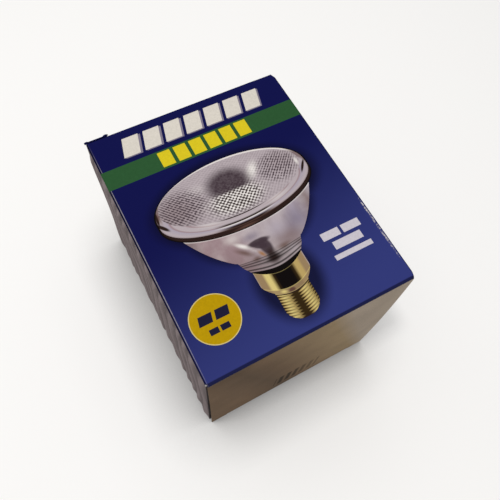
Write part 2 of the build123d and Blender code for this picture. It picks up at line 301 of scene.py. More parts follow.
class Finish(Graph):
    """Material with one principled shader, whose plain values are set on its own sockets."""

    def __init__(self, name, colour, roughness, **sockets):
        self.material = bpy.data.materials.new(name)
        self.material.diffuse_color = colour
        super().__init__(self.material)
        self.shader = self.tree.nodes["Principled BSDF"]
        for socket, value in {"Base Color": colour, "Roughness": roughness, **sockets}.items():
            self.shader.inputs[socket.replace("_", " ")].default_value = value

    @cached_property
    def place(self):
        """The piece's own place in the frame, in millimetres."""
        return self.add("SCALE", self.add("TexCoord").outputs["Object"], 1 / MM)

    @cached_property
    def axes(self):
        """The same place as x, y and z."""
        return tuple(self.add("SeparateXYZ", self.place).outputs)

    def reach(self, centre, radii, turn=0.0):
        """Distance from an oval's centre as a share of its radius, for an oval turned by some degrees on the panel."""
        middle, turned, size = (*centre, FRONT / MM), (0, 0, math.radians(turn)), (*radii, THROUGH)
        local = self.add("Mapping", self.place, middle, turned, size, vector_type="TEXTURE")
        return self.add("LENGTH", local)

    def pool(self, centre, radii, strength=1.0, turn=0.0, soft=1.0):
        """Soft oval on the panel: full inside, falling to nothing at its edge over a share of its radius."""
        reach = self.reach(centre, radii, turn)
        return self.add("MapRange", reach, 1.0, 1.0 - soft, 0.0, strength, interpolation_type="SMOOTHSTEP")

    def tinted(self, tone, *tints):
        """Colours laid over a tone one after another, each through its own mask or inside its own soft oval."""
        for colour, mask, *oval_settings in tints:
            mask = self.pool(mask, *oval_settings) if oval_settings else mask
            tone = self.add("Mix", mask, tone, colour)
        return tone

    def feed(self, source, socket="Base Color"):
        """Link a node's live output to one of the shader's sockets. The material comes back."""
        self.tree.links.new(live(source), self.shader.inputs[socket])
        return self.material


def seen_directly(graph):
    """One for what the camera sees, straight or by gloss and glass, and nought for light that lights the carton."""
    path = graph.add("LightPath").outputs
    seen = path["Is Camera Ray"]
    for ray in ("Is Glossy Ray", "Is Transmission Ray"):
        seen = graph.add("MAXIMUM", seen, path[ray])
    return seen


def bare_board(name, colour, look, under=None, over=None):
    """Grey chipboard: fibres mottle it, it is matt with hardly a sheen, and handling dents it.

    One function can give the colour under the mottle, and another can lay wear, marks or painted shade over it.
    """
    board = Finish(name, colour, 0.75, Specular_IOR_Level=0.06)
    fibre = board.add("TexNoise", board.place, MM / look.fibre, 5.0, 0.65)
    dent = board.add("TexNoise", board.place, MM / look.dent, 2.0)
    mottle = board.add("ADD", fibre, dent)
    shade = board.add("MapRange", mottle, 0.7, 1.3, 0.84, 1.14)
    tone = board.add("SCALE", under(board, look) if under else colour[:3], shade)
    board.feed(over(board, look, tone, fibre) if over else tone)
    board.feed(board.add("MapRange", fibre, None, None, 0.65, 0.9), "Roughness")
    relief = board.add("MULTIPLY_ADD", dent, 14.0, fibre)
    return board.feed(board.add("Bump", 0.5, 0.07 * MM, None, relief), "Normal")


def outer_face(board):
    """One on the faces that look out at the bottom end, nought on the others."""
    facing = board.add("SeparateXYZ", board.add("TexCoord").outputs["Normal"])
    return board.add("LESS_THAN", facing.outputs["Y"], -0.3)


def closure_bands(board, look):
    """Tone of the bottom closure's outer face, which drifts from left to right, further right the lower it lies. The
    darker stripe left of the middle is painted fold shade, and the paler board at the right is painted light.
    """
    x, _, z = board.axes
    slant = board.add("MULTIPLY_ADD", z, 0.35, x)
    tones = (
        (0.21, look.closure), (0.35, look.closure_shade), (0.43, look.closure),
        (0.68, look.closure_warm), (0.75, look.closure_lit),
    )
    across = board.add("ValToRGB", board.add("MapRange", slant, -63.0, 107.0), stops=tones)
    return board.add("Mix", outer_face(board), look.closure, across)


def stamped(board, look, tone, fibre):
    """Row of short upright bars low in the middle of the bottom closure, pale as worn ink and paler to the right."""
    # Middle and half width of the row, then its height on the closure and half the bars' length, in millimetres.
    middle, half_width, level, half_height = 1.5, 16.5, 27.0, 12.0
    x, _, z = board.axes
    turn = board.add("MULTIPLY_ADD", x, 2 * math.pi * MM / look.stamp_pitch, 0.6)
    wave = board.add("SINE", turn)
    bars = board.add("MULTIPLY_ADD", fibre, 1.6, wave)
    bars = board.add("MapRange", bars, 0.2, 0.9, 0.0, 0.95)
    worn = board.add("MapRange", x, -4.0, 10.0, 1.0, 0.5)
    within = board.add("COMPARE", x, middle, half_width)
    low = board.add("COMPARE", z, level, half_height)
    for mask in (worn, within, low, outer_face(board)):
        bars = board.add("MULTIPLY", bars, mask)
    return board.add("Mix", bars, tone, look.stamp)


def furrowed(board, look, tone, _fibre):
    """Painted shade in the furrows between the ripples."""
    depth = board.add("Attribute", attribute_name="furrow").outputs["Fac"]
    light = board.add("MapRange", depth, None, None, 1.0, 1.0 - look.furrow)
    return board.add("SCALE", tone, light)


def shaded_gap(board, look, tone, _fibre):
    """Painted shade along the dust flaps' folds, behind the bottom closure, where the gap lies in shade."""
    # How far in from the sleeve's end the painted shade goes, and where it starts and is full, out from the middle.
    depth, start, full = 0.6, 57.0, 59.5
    x, y, _ = board.axes
    behind = board.add("LESS_THAN", y, depth - HALF_LENGTH / MM)
    aside = board.add("ABSOLUTE", x)
    aside = board.add("MapRange", aside, start, full, 0.0, 0.9)
    gap_shade = board.add("MULTIPLY", behind, aside)
    return board.add("Mix", gap_shade, tone, look.gap_shade)


def dark_edged(board, look, tone, _fibre):
    """Navy over the fold that meets the front panel, up to the dark edge's height."""
    # Width of the navy's soft edge, and how far past the sleeve's end the outer face lies.
    soft, past = 0.3, 0.3
    _, y, z = board.axes
    start = (FRONT - look.dark_edge) / MM
    near = board.add("MapRange", z, start, start + soft)
    before = board.add("GREATER_THAN", y, HALF_LENGTH / MM + past)
    near = board.add("MULTIPLY", near, before)
    return board.add("Mix", near, tone, bpy.context.scene.print_look.navy)


def offset_ink(name, colour):
    """Offset ink under a thin satin varnish: even colour, with the board's fibres just felt in the sheen."""
    ink = Finish(name, colour, 0.42, Specular_IOR_Level=VARNISH)
    grain = ink.add("TexNoise", ink.place, 1 / 1.111, 4.0)
    shade = ink.add("MapRange", grain, 0.3, 0.7, 0.93, 1.05)
    ink.feed(ink.add("SCALE", colour[:3], shade))
    return ink.feed(ink.add("MapRange", grain, None, None, 0.34, 0.5), "Roughness")


def ground_ink(look):
    """Navy offset ink: lighter to the lower right, dark round the picture and along the folds, rubbed at its edges."""
    ink = Finish("navy_offset_ink", look.navy, 0.4, Specular_IOR_Level=VARNISH)
    x, y, _ = ink.axes
    slope = ink.add("MULTIPLY_ADD", x, -0.3, y)
    low = ink.add("MapRange", slope, 22.0, -85.0, interpolation_type="SMOOTHSTEP")
    # The folds turn away from the light over their last millimetre: painted shade.
    sides = ink.add("MapRange", ink.add("ABSOLUTE", x), 61.1, 61.5, 0.0, 0.9)
    foot = ink.add("MapRange", y, -76.2, -76.6, 0.0, 0.75)
    dim = ink.add("MAXIMUM", sides, foot)
    # The picture's dark surround is three ovals, round the rim, the bowl and the base.
    surround = ((0.1, 9.5), (56.0, 31.0), 0.2), ((0.1, 0.0), (44.0, 37.0), 0.2), ((0.6, -48.0), (23.0, 29.0), 0.4)
    for centre, radii, soft in surround:
        dim = ink.add("MAXIMUM", dim, ink.pool(centre, radii, 0.85, soft=soft))
    # Rubbed edges: flecks low on the right fold, a rubbed patch at the left foot, and a fine line on the left fold that
    # is partly wear and partly a painted highlight on the fold's crest.
    grain = ink.add("TexNoise", ink.place, 1 / 1.25, 6.0, 0.7)
    flecks = ink.pool((60.5, -44.0), (0.8, 30.0), 0.36, soft=0.4)
    corner = ink.pool((-61.6, -76.9), (1.5, 1.3), 0.5)
    rub_and_highlight = ink.add("ADD", ink.add("MAXIMUM", flecks, corner), grain)
    rub_and_highlight = ink.add("MapRange", rub_and_highlight, 0.8, 0.95, 0.0, 0.85)
    line = ink.pool((-60.95, -4.0), (0.3, 90.0), 0.75, soft=0.4)
    line = ink.add("MULTIPLY", line, grain)
    # A few loose specks of dust on the face, each about half a millimetre.
    dust = ink.add("TexVoronoi", ink.place, 1 / 24.0)
    dust = ink.add("MapRange", dust, 0.03, 0.012, 0.0, 0.35)
    for mask in (line, dust):
        rub_and_highlight = ink.add("MAXIMUM", rub_and_highlight, mask)
    ink.feed(ink.tinted(look.navy, (look.navy_low, low), (look.halo, dim), (look.scuff_and_highlight, rub_and_highlight)))
    return ink.feed(ink.add("MapRange", rub_and_highlight, None, None, 0.4, 0.8), "Roughness")


def picture_ink(name, look):
    """Four-colour offset print under varnish: satin, and as flat as the rest of the panel."""
    return Finish(name, look.pale, 0.5, Specular_IOR_Level=VARNISH)


def bent(ink, bend):
    """Height on the panel along curves that dip in the middle, as rings do that are seen from above."""
    x, y, _ = ink.axes
    square = ink.add("POWER", x, 2.0)
    dip = ink.add("MULTIPLY", square, bend)
    return ink.add("SUBTRACT", y, dip)


def rim_reach(ink, look, centre, height):
    """Distance from the centre of an oval as wide as the rim, as a share of its radius."""
    return ink.reach(Vector(centre) / MM, (look.rim_width / MM, height / MM), math.degrees(look.tilt))


def lens_ink(look):
    """Prism field of a pressed lens: crossed grooves that make bright diamonds, and a dark pool above them."""
    ink = picture_ink("picture_lens_ink", look)
    x, y, _ = ink.axes
    # The rows close up towards the far side of the lens.
    rows = ink.add("POWER", ink.add("ADD", bent(ink, 0.004), 30.0), 1.5)
    columns = ink.add("MULTIPLY", x, 2 * math.pi * MM / look.prism)
    turns = [ink.add("MULTIPLY_ADD", rows, lean, columns) for lean in (0.31, -0.31)]
    grooves = [ink.add("COSINE", turn) for turn in turns]
    # Both sets show alike in the middle. Towards each end one set takes over.
    side = ink.add("MapRange", x, -42.0, 42.0)
    side = ink.add("ValToRGB", side, stops=((0.0, 0.3), (0.36, 0.46), (0.64, 0.54), (1.0, 0.7)))
    weave = ink.add("Mix", side, *grooves, data_type="FLOAT")
    speckle = ink.add("TexNoise", ink.place, 1 / 1.25, 3.0)
    middle = ink.pool((-1.0, 7.0), (24.0, 12.5), soft=0.6)
    for mask, share in ((speckle, 2.8), (middle, -0.16)):
        weave = ink.add("MULTIPLY_ADD", mask, share, weave)
    weave = ink.add("MapRange", weave, 0.9, 1.75)
    tone = ink.tinted(
        look.pale,
        (look.dusk, (-36.0, 13.0), (24.0, 18.0), 0.6),
        (look.dusk, (34.0, 18.0), (18.0, 13.0), 0.25),
        (look.bright, (15.0, 19.5), (10.0, 5.0), 0.95, 52),
        (look.bright, (-19.0, 21.0), (9.0, 6.0), 0.2),
    )
    # The diamonds are boldest at the lower middle, plain at both sides and faint elsewhere.
    deep = ink.add("Mix", middle, look.spot, look.dark)
    light = ink.add("Mix", middle, tone, look.bright)
    prisms = ink.add("Mix", weave, deep, light)
    crisp = middle
    for centre, radii in (((-31.0, 14.0), (18.5, 14.0)), ((29.5, 16.0), (15.5, 12.5))):
        crisp = ink.add("MAXIMUM", crisp, ink.pool(centre, radii, soft=0.5))
    crisp = ink.add("MapRange", crisp, None, None, 0.2, 0.95)
    # The dark pool fades out at its top and stops short where the bright rows begin.
    dark = ink.pool((-1.0, 17.4), (17.5, 13.5), soft=0.55)
    grain = ink.add("MapRange", speckle, 0.35, 0.6, 1.0, 0.9)
    start = ink.add("MapRange", ink.add("MULTIPLY_ADD", speckle, 3.0, y), 13.4, 14.8)
    for mask in (grain, start):
        dark = ink.add("MULTIPLY", dark, mask)
    return ink.feed(ink.tinted(tone, (prisms, crisp), (look.spot, dark), (look.bright, (41.5, 14.0), (1.6, 4.0), 0.8)))


def bead_ink(look):
    """Glass bead round the lens: pale mauve with fine dark lines, and white along its far edge."""
    ink = picture_ink("picture_bead_ink", look)
    reach = rim_reach(ink, look, look.bead_place, look.bead_height)
    plain = (
        (0.72, look.pale), (0.75, look.rose), (0.77, look.pale), (0.84, look.pale),
        (0.86, look.rose), (0.88, look.lilac), (0.96, look.pale), (1.0, look.dusk),
    )
    lines = (
        (0.64, look.pale), (0.655, look.dark), (0.675, look.dark), (0.69, look.pale), (0.8, look.pale),
        (0.843, look.dark), (0.87, look.dark), (0.89, look.bright), (0.92, look.lilac), (0.95, look.dark),
    )
    plain, lines = (ink.add("ValToRGB", reach, stops=stops) for stops in (plain, lines))
    far = ink.add("MapRange", ink.axes[1], 20.0, 25.0, 0.0, 0.85)
    tone = ink.tinted(
        plain,
        (lines, (-2.0, -5.0), (21.0, 9.0), 1.0, 0, 0.5),
        (look.bright, far),
        (look.bright, (-22.0, -1.0), (11.0, 3.0), 0.3, -14),
        (look.bright, (20.0, -2.0), (11.0, 3.0), 0.3, 12),
        # Brown reflections curl round both ends of the bead.
        (look.dark, (-45.2, 8.2), (5.4, 1.4), 1.0, -50, 0.5),
        (look.dark, (-45.8, 14.5), (6.0, 1.0), 1.0, 84, 0.5),
        (look.dark, (43.2, 9.4), (5.8, 1.0), 1.0, 55, 0.5),
        (look.umber, (-44.6, 14.0), (1.4, 6.0), 0.6),
    )
    return ink.feed(tone)


def rim_ink(look):
    """Seam under the glass bead: nearly black, with a warm gleam at its middle."""
    ink = picture_ink("picture_rim_ink", look)
    reach = rim_reach(ink, look, look.seam_place, look.seam_height)
    stops = ((0.84, look.umber), (0.88, look.dark), (0.97, look.dark), (0.99, look.black))
    tone = ink.add("ValToRGB", reach, stops=stops)
    return ink.feed(ink.tinted(tone, (look.umber, (-4.0, -10.6), (11.0, 1.2), 0.8)))


def bowl_ink(look):
    """Silvered bowl: soft rose and lilac greys, a bright streak, a dark image of the base, rings round the neck."""
    ink = picture_ink("picture_bowl_ink", look)
    x, y, _ = ink.axes
    stops = (
        (0.05, look.dusk), (0.12, look.rose), (0.3, look.rose), (0.45, look.pale),
        (0.68, look.pale), (0.8, look.lilac), (0.93, look.dusk), (1.0, look.lilac),
    )
    tone = ink.add("ValToRGB", ink.add("MapRange", x, -40.0, 40.0), stops=stops)
    low = ink.add("MapRange", y, -19.0, -33.0, 0.0, 0.5)
    cloud = ink.add("MapRange", ink.add("TexNoise", ink.place, 1 / 9.0, 3.0), 0.45, 0.8, 0.0, 0.22)
    # Long soft streaks, 6 mm wide and 25 mm long, run down the silvering.
    along = ink.add("Mapping", ink.place, None, None, (1 / 6.25, 1 / 25.0, 0.0))
    streak = ink.add("MapRange", ink.add("TexNoise", along, 1.0, 3.0), 0.45, 0.75, 0.0, 0.28)
    # Share of dark down the neck, whose rings dip more the lower they lie.
    dip = ink.add("MULTIPLY_ADD", y, -0.00145, -0.03795)
    rings = ink.add("MapRange", bent(ink, dip), -43.0, -29.0)
    shares = (
        (0.0, 1.0), (0.265, 1.0), (0.29, 0.1), (0.335, 0.1), (0.36, 0.8), (0.41, 0.8), (0.435, 0.15),
        (0.5, 0.1), (0.56, 0.35), (0.585, 0.75), (0.615, 0.75), (0.635, 0.2), (0.68, 0.2), (0.7, 0.75),
        (0.735, 0.75), (0.76, 0.25), (0.805, 0.2), (0.82, 0.6), (0.845, 0.6), (0.865, 0.0),
    )
    rings = ink.add("ValToRGB", rings, stops=shares)
    rings = ink.add("MULTIPLY", rings, ink.add("MapRange", y, -27.0, -28.5))
    # A fine bright line where the bowl comes out from under the seam.
    seam = rim_reach(ink, look, look.seam_place, look.seam_height)
    edge = ink.add("MapRange", seam, 1.03, 1.015, 0.0, 0.45)
    tone = ink.tinted(
        tone,
        (look.dusk, low),
        (look.bright, cloud),
        (look.dusk, streak),
        (look.dusk, (14.0, -26.0), (15.0, 9.0), 0.8),
        (look.lilac, (10.0, -19.0), (9.0, 8.0), 0.6),
        # Dim reflections on the right, above the base's image and beside the neck, and a light one on the left.
        (look.violet, (21.5, -18.5), (12.0, 9.5), 0.62, 35),
        (look.violet, (-5.5, -17.6), (8.0, 4.0), 0.55),
        (look.umber, (8.5, -30.0), (8.0, 3.0), 0.75),
        (look.umber, (-8.5, -30.4), (4.0, 2.4), 0.75),
        (look.bright, (-15.4, -14.6), (6.0, 5.0), 0.4),
        # The dark image of the base has a straight top edge and leans to a point on its left.
        (look.spot, (-3.2, -22.0), (8.4, 2.4), 0.95, 0, 0.45),
        (look.spot, (-3.6, -24.0), (5.8, 2.6), 0.95, -26, 0.45),
        (look.spot, (-0.8, -26.0), (4.2, 6.8), 0.95, 6, 0.45),
        (look.dark, (-0.2, -32.3), (4.8, 6.8), 0.9, 0, 0.8),
        (look.dark, (0.0, -34.2), (8.5, 3.0), 0.9),
        # A dusky stripe, a bright streak and an amber glint lie side by side on the left.
        (look.umber, (-12.9, -24.6), (8.5, 2.4), 0.75, -40),
        (look.bright, (-12.2, -20.6), (6.6, 2.0), 0.95, -40),
        (look.bright, (-7.6, -25.6), (4.6, 1.2), 0.2, -44),
        (look.amber, (-4.7, -29.0), (4.0, 1.7), 0.95, -60),
        (look.pale, (12.5, -33.5), (6.0, 5.0), 0.8),
        (look.black, rings),
        (look.bright, edge),
    )
    return ink.feed(tone)


def skirt_ink(look):
    """Brass skirt: bright bars at both sides, a black reflection between them, and a rolled lip below."""
    ink = picture_ink("picture_skirt_ink", look)
    stops = (
        (0.0, look.pale), (0.03, look.tan), (0.13, look.tan), (0.18, look.brass_bright), (0.24, look.brass_bright),
        (0.31, look.brass_dark), (0.36, look.black), (0.64, look.black), (0.7, look.brass_dark), (0.76, look.brass),
        (0.83, look.brass), (0.88, look.tan), (0.97, look.tan), (1.0, look.pale),
    )
    bars = ink.add("ValToRGB", ink.add("MapRange", ink.axes[0], -15.0, 15.0), stops=stops)
    level = bent(ink, 0.026)
    lip = ink.add("MapRange", level, -52.2, -52.7, 0.0, 0.85)
    shares = (0.07, 0.0), (0.08, 0.5), (0.1, 0.0), (0.24, 0.0), (0.265, 0.7), (0.29, 0.0), (0.95, 0.0), (0.97, 0.3)
    lines = ink.add("ValToRGB", ink.add("MapRange", level, -56.0, -42.0), stops=shares)
    step = ink.add("MapRange", level, -54.9, -55.2)
    tone = ink.tinted(
        bars,
        # The lip below the black reflection is dull, with one glint and one shade.
        (look.tan, lip),
        (look.brass_bright, (-5.0, -53.0), (3.0, 1.6), 1.0, -20),
        (look.umber, (-0.6, -53.9), (2.6, 1.8), 1.0, 0, 0.6),
        # Light lines along the skirt's two edges, and a dark line where it meets the screw.
        (look.brass_bright, lines),
        (look.dark, step),
    )
    return ink.feed(tone)


def screw_ink(look):
    """Brass screw: fine threads, bright at both sides, dark in the middle and at the tip."""
    pitch = 1.62
    ink = picture_ink("picture_screw_ink", look)
    x = ink.axes[0]
    slant = ink.add("MULTIPLY_ADD", x, -0.06, bent(ink, 0.022))
    wave = ink.add("COSINE", ink.add("MULTIPLY", slant, 2 * math.pi / pitch))
    light = ink.add("MapRange", wave, -1.0, 0.5, 0.4)
    # Each thread shifts the light and dark bars a little to the side.
    shift = ink.add("MapRange", ink.add("ADD", wave, x), -10.0, 10.0)
    stops = (
        (0.02, look.brass_dark), (0.1, look.brass), (0.2, look.brass_bright), (0.32, look.brass),
        (0.4, look.brass_dark), (0.6, look.brass_dark), (0.68, look.brass), (0.8, look.brass_bright),
        (0.92, look.brass), (0.98, look.brass_dark),
    )
    gold = ink.add("ValToRGB", shift, stops=stops)
    tip = (look.dark, (0.5, -70.0), (6.5, 2.2), 0.95)
    return ink.feed(ink.tinted(look.brass_dark, (gold, light), tip))


def clouded(finish, size, detail, low, high):
    """Finish whose roughness drifts between two values, in clouds of a size in millimetres."""
    cloud = finish.add("TexNoise", finish.place, 1 / size, detail)
    return finish.feed(finish.add("MapRange", cloud, None, None, low, high), "Roughness")


def prismatic_glass(look):
    """Pressed borosilicate: clear, with small diamond prisms on the face that break up what lies behind."""
    glass = Finish("pressed_lens_glass", look.glass, 0.12, Transmission_Weight=1.0, IOR=1.47)
    width, randomness = 2.6, 0.15
    prisms = glass.add("TexVoronoi", glass.place, 1 / width, None, None, None, randomness, distance="MANHATTAN")
    return glass.feed(glass.add("Bump", 0.6, 0.5 * MM, None, prisms), "Normal")


def quartz(look):
    """Fused quartz: clear and thin, with faint drawing lines along it."""
    tube = Finish("fused_quartz", look.glass, 0.03, Transmission_Weight=1.0, IOR=1.46)
    lines = tube.add("TexNoise", tube.place, 1 / 1.5, 2.0)
    return tube.feed(tube.add("Bump", 0.08, 0.1 * MM, None, lines), "Normal")


def coiled_tungsten(look):
    """Coiled tungsten wire: dark grey metal, ribbed by its turns."""
    wire = Finish("coiled_tungsten", look.tungsten, 0.45, Metallic=1.0)
    # A wave texture at a scale of one has a band in each tenth of pi.
    spacing = 0.3927
    turns = wire.add("TexWave", wire.place, math.pi / 10 / spacing, bands_direction="Y").outputs["Fac"]
    return wire.feed(wire.add("Bump", 0.5, 0.15 * MM, None, turns), "Normal")


def dark_glass(look):
    """Cast dark glass: black and glossy, with small ripples from the mould."""
    glass = Finish("cast_dark_glass", look.insulator, 0.12)
    ripple = glass.add("TexNoise", glass.place, 1 / 3.333, 2.0)
    return glass.feed(glass.add("Bump", 0.2, 0.2 * MM, None, ripple), "Normal")


# Mesh building


def new_piece(name, shape, material, body=None):
    """Object from a bmesh, smooth but for its sharp edges, riding on a body of the frame."""
    bmesh.ops.recalc_face_normals(shape, faces=shape.faces)
    mesh = bpy.data.meshes.new(name)
    shape.to_mesh(mesh)
    shape.free()
    mesh.shade_smooth()
    mesh.set_sharp_from_angle(angle=math.radians(35))
    mesh.materials.append(material)
    piece = bpy.data.objects.new(name, mesh)
    bpy.context.scene.collection.objects.link(piece)
    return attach(piece, body) if body else piece


def on_sleeve(name, shape, material):
    """Piece that rides with the sleeve."""
    return new_piece(name, shape, material, "carton")


def near_corner(face, corner, reach):
    """Whether a face comes within reach of a corner along each axis."""
    spans = [[vert.co[axis] for vert in face.verts] for axis in range(3)]
    return all(min(span) - reach < at < max(span) + reach for span, at in zip(spans, corner))


def crush_corners(shape, spare=0.0):
    """Press in the front panel's right corners, after cuts that let the board bend there."""
    bmesh.ops.remove_doubles(shape, verts=shape.verts, dist=0.001 * MM)
    for corner, way, depth, reach in CRUSHED:
        for axis in range(3):
            across = Vector([float(axis == each) for each in range(3)])
            for share in BENDS:
                near = [face for face in shape.faces if near_corner(face, corner, reach)]
                parts = dict.fromkeys(part for face in near for part in (face, *face.edges, *face.verts))
                place = corner + across * math.copysign(reach * share, way[axis])
                bmesh.ops.bisect_plane(shape, geom=list(parts), dist=0.0001 * MM, plane_co=place, plane_no=across)
        for vert in shape.verts:
            share = max(0.0, 1.0 - (vert.co - corner).length / reach)
            vert.co += way * (depth + spare) * share**2
    return shape


def solid(*loops):
    """Closed solid through loops of points that match one to one."""
    shape = bmesh.new()
    rings = [[shape.verts.new(point) for point in loop] for loop in loops]
    for near, far in zip(rings, rings[1:]):
        for side in zip(near, near[1:] + near[:1], far[1:] + far[:1], far):
            shape.faces.new(side)
    for end in (rings[0], rings[-1]):
        shape.faces.new(end)
    return shape


def arc(centre, width, height, start, sweep, steps):
    """Points along part of an oval of two half sizes, from a start over a sweep in degrees."""
    turns = [math.radians(start + sweep * step / steps) for step in range(steps + 1)]
    return [(centre[0] + width * math.cos(turn), centre[1] + height * math.sin(turn)) for turn in turns]


def oval(centre, width, height):
    """Points of a whole oval."""
    return arc(centre, width, height, 0, 360, 96)[:-1]


def sweep_curve(start, pull, end, count=16):
    """Points of a curve from start to end that leans towards one pulling point."""
    shares = [step / count for step in range(count + 1)]
    return [
        tuple((1 - t) ** 2 * a + 2 * t * (1 - t) * b + t * t * c for a, b, c in zip(start, pull, end)) for t in shares
    ]


def mirrored(side, middle):
    """Outline from its right half, in millimetres from a middle line and downwards. The left half comes back up."""
    right = [(x * MM, y * MM) for x, y in side]
    return [(middle + x, y) for x, y in right] + [(middle - x, y) for x, y in reversed(right)]


def printed(name, outline, layer, material):
    """Thin printed shape on the front panel, on a layer counted up from the ground ink."""
    film = bpy.context.scene.print_look.film
    low, high = ([(x, y, FRONT + film * rise) for x, y in outline] for rise in (LIFT, layer + 1))
    return on_sleeve(name, solid(low, high), material)


def folded_film(name, low, high, layer, material):
    """Print that covers the front panel between two heights and runs over both long folds."""
    scene = bpy.context.scene
    radius, wrap, film = scene.board_look.fold_radius, scene.board_look.wrap, scene.print_look.film

    def path(stand_off):
        reach = radius + stand_off
        edge = [(HALF_WIDTH + stand_off, FRONT - radius - wrap)]
        edge += arc((HALF_WIDTH - radius, FRONT - radius), reach, reach, 0, 90, 8)
        return edge + [(-x, z) for x, z in reversed(edge)]

    loop = path(film * (layer + 1)) + path(film * LIFT)[::-1]
    on_sleeve(name, crush_corners(solid(*([(x, y, z) for x, z in loop] for y in (low, high)))), material)


# Operators


class CARTON_OT_board(bpy.types.Operator):
    """Give the sleeve and the closures their bare board"""

    bl_idname = "carton.board"
    bl_label = "Board"

    def execute(self, context):
        look = context.scene.board_look
        sleeve = bare_board("side_chipboard", look.side, look, over=shaded_gap)
        bottom = bare_board("closure_chipboard", look.closure, look, closure_bands, stamped)
        top = bare_board("edged_chipboard", look.closure, look, over=dark_edged)
        self.worn(look, "carton_sleeve", sleeve, "carton", "printed_board")
        self.worn(look, "bottom_closure", bottom, "bottom_closure", "plain_board")
        self.worn(look, "top_closure", top, "top_closure", "plain_board")
        self.ripples(look)
        self.worn_corner(top)
        return {"FINISHED"}

    def worn(self, look, node, board, body, slot):
        """Copy of a board piece with its wear: crushed corners, and the top closure's right shoulder tucked in."""
        NODES[node].material_slots[0].material = board
        shape = bmesh.new()
        shape.from_mesh(NODES[node].data)
        if node == "top_closure":
            for vert in shape.verts:
                x, y, z = vert.co
                if x > look.shoulder and y > HALF_LENGTH and z > FRONT - look.shoulder_edge:
                    vert.co.z -= look.shoulder_tuck
        else:
            # The board gives a hair more than the print on it, which then stays on top.
            crush_corners(shape, look.give)
        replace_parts(new_piece(f"worn_{node}", shape, board, body), node)

    def ripples(self, look):
        """Outer ply of the left side, which has come up in upright ripples and lies flat along its border."""
        foot_gap, print_gap, end_gap, sunk = 1.2 * MM, 0.1 * MM, 0.2 * MM, 0.2 * MM
        end_border, edge_border = 5 * MM, 8 * MM
        # The ply lies a hair off the board at its border and is puffed up inside it.
        hair, puff = 0.03 * MM, 0.5 * MM
        # Lengths along the side and up it, over which the ripples wander and swell.
        wander, swelling = (25 * MM, 60 * MM), (18 * MM, 50 * MM)
        low, high = SLEEVE_LOW.z + foot_gap, FRONT - look.fold_radius - look.wrap - print_gap
        shape = bmesh.new()
        furrow = shape.verts.layers.float.new("furrow")
        bmesh.ops.create_grid(shape, x_segments=150, y_segments=40, size=1.0)
        for vert in shape.verts:
            u, v, _ = vert.co
            y, z = u * (HALF_LENGTH - end_gap), low + (high - low) * (v + 1) / 2
            border = min(1.0, (1 - abs(u)) * HALF_LENGTH / end_border) * min(1.0, (1 - abs(v)) * FRONT / edge_border)
            drift = noise.noise((y / wander[0], z / wander[1], 0.0))
            wave = 0.5 + 0.5 * math.sin(2 * math.pi * y / look.ripple + 5 * drift)
            swell = 0.65 + 0.6 * noise.noise((y / swelling[0], z / swelling[1], 7.0))
            rise = hair + border * (puff + look.ripple_depth * wave * max(0.1, swell))
            vert.co = (-HALF_WIDTH - rise, y, z)
            vert[furrow] = 1.0 - wave
        back = bmesh.ops.extrude_face_region(shape, geom=shape.faces[:])
        for item in back["geom"]:
            if isinstance(item, bmesh.types.BMVert):
                item.co.x = -HALF_WIDTH + sunk
        on_sleeve("left_ply", shape, bare_board("rippled_chipboard", look.side, look, over=furrowed))

    def worn_corner(self, board):
        """Crushed outer corner and bent inner corner of the top closure's left shoulder."""
        for name, middle, size in (
            ("crushed_corner", (-61.4, 78.8, 122.9), (1.3, 0.62, 1.1)),
            ("bent_shoulder", (-49.8, 78.9, 123.2), (1.8, 0.6, 0.9)),
        ):
            shape = bmesh.new()
            bmesh.ops.create_icosphere(shape, subdivisions=4, radius=1.0)
            for vert in shape.verts:
                crumple = 1.0 + 0.35 * noise.noise(vert.co * 1.7 + Vector(middle))
                vert.co = [(at + reach * side * crumple) * MM for at, reach, side in zip(middle, size, vert.co)]
            new_piece(name, shape, board, "top_closure")


class CARTON_OT_fields(bpy.types.Operator):
    """Print the navy ground and the green band, and carry the ground over the bottom crease"""

    bl_idname = "carton.fields"
    bl_label = "Print Fields"

    def execute(self, context):
        look, board = context.scene.print_look, context.scene.board_look
        ground = ground_ink(look)
        folded_film("navy_ground", -HALF_LENGTH, HALF_LENGTH, 0, ground)
        folded_film("green_band", look.band_low, look.band_high, 1, offset_ink("green_offset_ink", look.green))
        self.crease(look, board, ground)
        return {"FINISHED"}

    def crease(self, look, board, ground):
        """Printed board bent round the bottom crease, so that no gap shows there at any angle of the closure."""
        joint = next(j for j in frame["joints"] if j["child"] == "bottom_closure")
        _, hinge_y, hinge_z = joint["pos_m"]
        # The closure bows out a little from its crease, so the strip leans out with it. It overlaps the front panel.
        lean, overlap = 0.055, 1.2 * MM

        def path(stand_off):
            radius = board.crease_radius + stand_off
            curve = arc((hinge_y, hinge_z), radius, radius, 90, 90, 8)
            foot = (curve[-1][0] - lean * board.crease_wrap, hinge_z - board.crease_wrap)
            return [(-HALF_LENGTH + overlap, FRONT + stand_off)] + curve + [foot]

        loop = path(2.0 * look.film) + path(look.film)[::-1]
        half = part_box("bottom_closure")[1].x
        shape = crush_corners(solid(*([(x, y, z) for y, z in loop] for x in (-half, half))))
        piece = new_piece("crease_print", shape, ground)
        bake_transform(piece)


